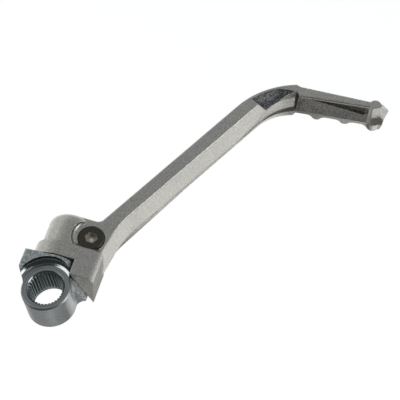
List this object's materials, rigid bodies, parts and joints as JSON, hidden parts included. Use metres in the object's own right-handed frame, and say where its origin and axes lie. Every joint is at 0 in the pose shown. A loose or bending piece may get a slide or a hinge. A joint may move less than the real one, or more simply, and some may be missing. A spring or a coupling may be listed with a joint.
{
  "type": "kick start lever",
  "caption": "Folding kick start lever: splined steel hub with a stub, forged alloy arm with a swept bend and ribbed foot pedal that swings on the stub, kept on by a socket screw",
  "frame": {"origin": "middle of the splined bore, on its axis", "axes": "Z is the bore axis, pointing away from the engine; Y is the fold pivot, from the bore towards the knuckle; X points to the foot pedal's side"},
  "size_m": [0.154, 0.1761, 0.0446],
  "materials": {
    "plated_steel": "zinc-plated forged steel, satin, with turned faces",
    "forged_alloy": "bead-blasted forged aluminium, satin silver",
    "black_screw": "black oxide on steel, slightly oily",
    "bearing_steel": "polished bearing steel",
    "spring_steel": "bright spring wire"
  },
  "bodies": {
    "hub": {"splined_hub": "plated_steel"},
    "arm": {"lever_arm": "forged_alloy", "retaining_screw": "black_screw", "detent_spring": "spring_steel"},
    "ball": {"detent_ball": "bearing_steel"}
  },
  "joints": [
    {"name": "fold_pivot", "type": "hinge", "parent": "hub", "child": "arm", "pos_m": [0, 0, 0], "axis": [0, 1, 0], "range_deg": [-72, 0]},
    {"name": "ball_lift", "type": "slide", "parent": "arm", "child": "ball", "axis": [0, 1, 0], "range_m": [0, 0.0008], "stiffness_N_per_m": 2000, "deforming": ["detent_spring"]}
  ]
}
